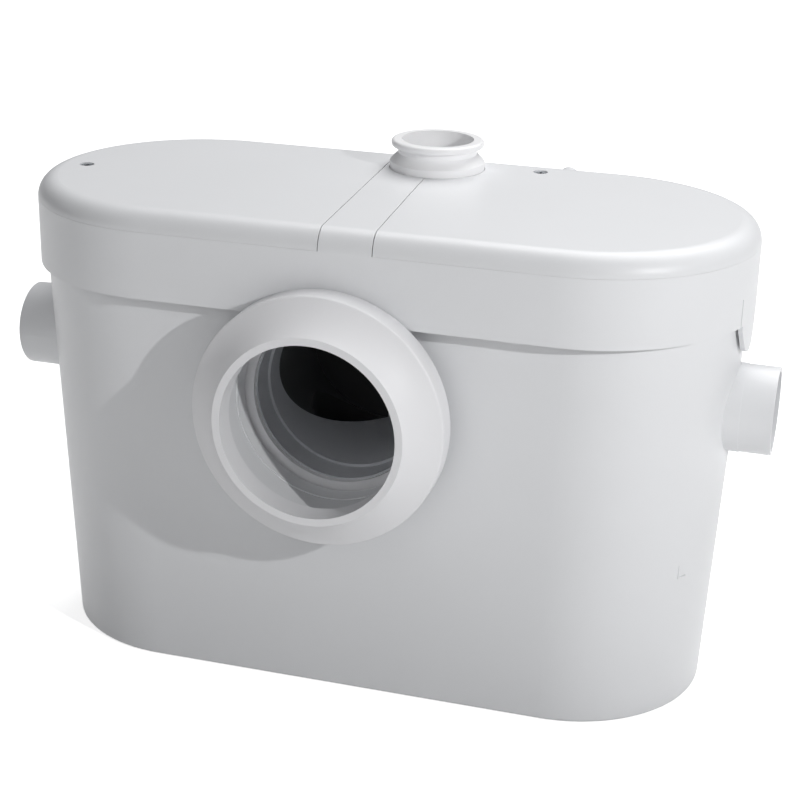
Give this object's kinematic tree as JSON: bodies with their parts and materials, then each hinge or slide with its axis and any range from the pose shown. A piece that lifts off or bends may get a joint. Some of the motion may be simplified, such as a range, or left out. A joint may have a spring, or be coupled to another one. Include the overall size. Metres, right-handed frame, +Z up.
{
  "type": "macerator toilet pump",
  "caption": "Oval white macerator pump with a soft pan inlet sleeve, side inlets, discharge stub, lift-off lid and access covers over a basket, pump, motor and level switch.",
  "frame": {"origin": "centre of the tub's flat bottom, at floor height", "axes": "+X along the tub towards the end with the control box, -Y out of the pan inlet, +Z up"},
  "size_m": [0.4646, 0.226, 0.3031],
  "materials": {
    "housing_white": "fine satin moulded ABS, cool white",
    "seal_white": "smooth white rubber",
    "chute_grey": "dark grey moulded polypropylene",
    "seal_black": "black EPDM rubber",
    "frame_black": "black moulded glass-filled nylon",
    "frame_grey": "light grey moulded polypropylene",
    "pipe_white": "white polypropylene pipe",
    "cover_steel": "bright zinc-plated steel",
    "shaft_steel": "ground stainless steel",
    "lamination_steel": "stacked steel laminations",
    "winding_copper": "enamelled copper wire",
    "housing_metal": "black painted steel can",
    "carbon_black": "activated carbon pellet in a black plastic cup",
    "capacitor_can": "white gloss plastic can",
    "cable_black": "black rubber sheath",
    "terminal_white": "off-white nylon",
    "spring_steel": "stainless spring strip"
  },
  "bodies": {
    "base": {"tub": "housing_white", "rubber_feet": "seal_black", "pan_sleeve": "seal_white", "inlet_chute": "chute_grey", "drop_elbow": "seal_black", "inlet_washer": "seal_white", "lid_gasket": "seal_black", "discharge_stub": "housing_white", "discharge_flap_pin": "shaft_steel", "left_inlet_seat": "frame_grey", "right_inlet_seat": "frame_grey", "left_flap_pin": "shaft_steel", "right_flap_pin": "shaft_steel", "pump_mounts": "seal_black", "pump_volute": "frame_black", "suction_plate": "frame_black", "riser_pipe": "pipe_white", "riser_cuffs": "seal_black", "hose_clips": "cover_steel", "macerator_basket": "frame_grey", "motor_flange": "frame_black", "shaft_seal": "seal_black", "lower_bearing": "shaft_steel", "upper_bearing": "shaft_steel", "motor_housing": "housing_metal", "motor_screws": "cover_steel", "stator": "lamination_steel", "windings": "winding_copper", "air_bell": "frame_grey", "membrane": "seal_black", "control_box": "frame_grey", "control_box_cover": "frame_grey", "control_box_screws": "cover_steel", "capacitor": "capacitor_can", "terminal_block": "terminal_white", "microswitch": "frame_black", "switch_lever_pin": "shaft_steel", "switch_bracket": "spring_steel", "motor_lead": "cable_black", "lead_glands": "seal_black"},
    "rotor": {"shaft": "shaft_steel", "rotor_core": "lamination_steel", "impeller": "frame_black", "cutter_blade": "shaft_steel", "blade_nut": "cover_steel"},
    "lid_body": {"lid": "housing_white", "cable_gland": "housing_white", "carbon_filter": "carbon_black"},
    "left_cover_body": {"left_cover": "housing_white", "left_cover_screw": "cover_steel"},
    "right_cover_body": {"right_cover": "housing_white", "right_cover_screw": "cover_steel"},
    "left_latch_body": {"left_latch": "housing_white"},
    "right_latch_body": {"right_latch": "housing_white"},
    "discharge_flap_body": {"discharge_flap": "seal_black"},
    "left_flap_body": {"left_inlet_flap": "seal_black"},
    "right_flap_body": {"right_inlet_flap": "seal_black"},
    "plunger_body": {"switch_plunger": "frame_grey"},
    "lever_body": {"switch_lever": "spring_steel"},
    "button_body": {"switch_button": "terminal_white"}
  },
  "joints": [
    {"name": "rotor_spin", "type": "hinge", "parent": "base", "child": "rotor", "pos_m": [-0.112, 0, 0.104], "axis": [0, 0, 1], "continuous": true},
    {"name": "lid_lift", "type": "slide", "parent": "base", "child": "lid_body", "axis": [0, 0, 1], "range_m": [0, 0.12]},
    {"name": "left_cover_lift", "type": "slide", "parent": "lid_body", "child": "left_cover_body", "axis": [0, 0, 1], "range_m": [0, 0.08]},
    {"name": "right_cover_lift", "type": "slide", "parent": "lid_body", "child": "right_cover_body", "axis": [0, 0, 1], "range_m": [0, 0.08]},
    {"name": "left_latch_flex", "type": "hinge", "parent": "lid_body", "child": "left_latch_body", "pos_m": [-0.21424, -0.01203, 0.25065], "axis": [-0.1253, 0.9921, 0], "range_deg": [0, 8], "stiffness_Nm_per_rad": 1},
    {"name": "right_latch_flex", "type": "hinge", "parent": "lid_body", "child": "right_latch_body", "pos_m": [0.21424, -0.01203, 0.25065], "axis": [-0.1253, -0.9921, 0], "range_deg": [0, 8], "stiffness_Nm_per_rad": 1},
    {"name": "discharge_flap_swing", "type": "hinge", "parent": "base", "child": "discharge_flap_body", "pos_m": [0.0111, 0.0797, 0.2692], "axis": [-1, 0, 0], "range_deg": [0, 50]},
    {"name": "left_flap_swing", "type": "hinge", "parent": "base", "child": "left_flap_body", "pos_m": [-0.19299, 0, 0.2015], "axis": [0, -1, 0], "range_deg": [0, 45]},
    {"name": "right_flap_swing", "type": "hinge", "parent": "base", "child": "right_flap_body", "pos_m": [0.19299, 0, 0.2015], "axis": [0, 1, 0], "range_deg": [0, 45]},
    {"name": "plunger_travel", "type": "slide", "parent": "base", "child": "plunger_body", "axis": [0, 0, 1], "range_m": [0, 0.0025], "stiffness_N_per_m": 200},
    {"name": "lever_swing", "type": "hinge", "parent": "base", "child": "lever_body", "pos_m": [0.088, 0, 0.2072], "axis": [0, -1, 0], "range_deg": [0, 9]},
    {"name": "button_travel", "type": "slide", "parent": "base", "child": "button_body", "axis": [0, 0, 1], "range_m": [0, 0.00125]}
  ],
  "couplings": [
    {"joint": "lever_swing", "follows": "plunger_travel", "rad_per_m": 62.5},
    {"joint": "button_travel", "follows": "plunger_travel", "ratio": 0.5}
  ]
}
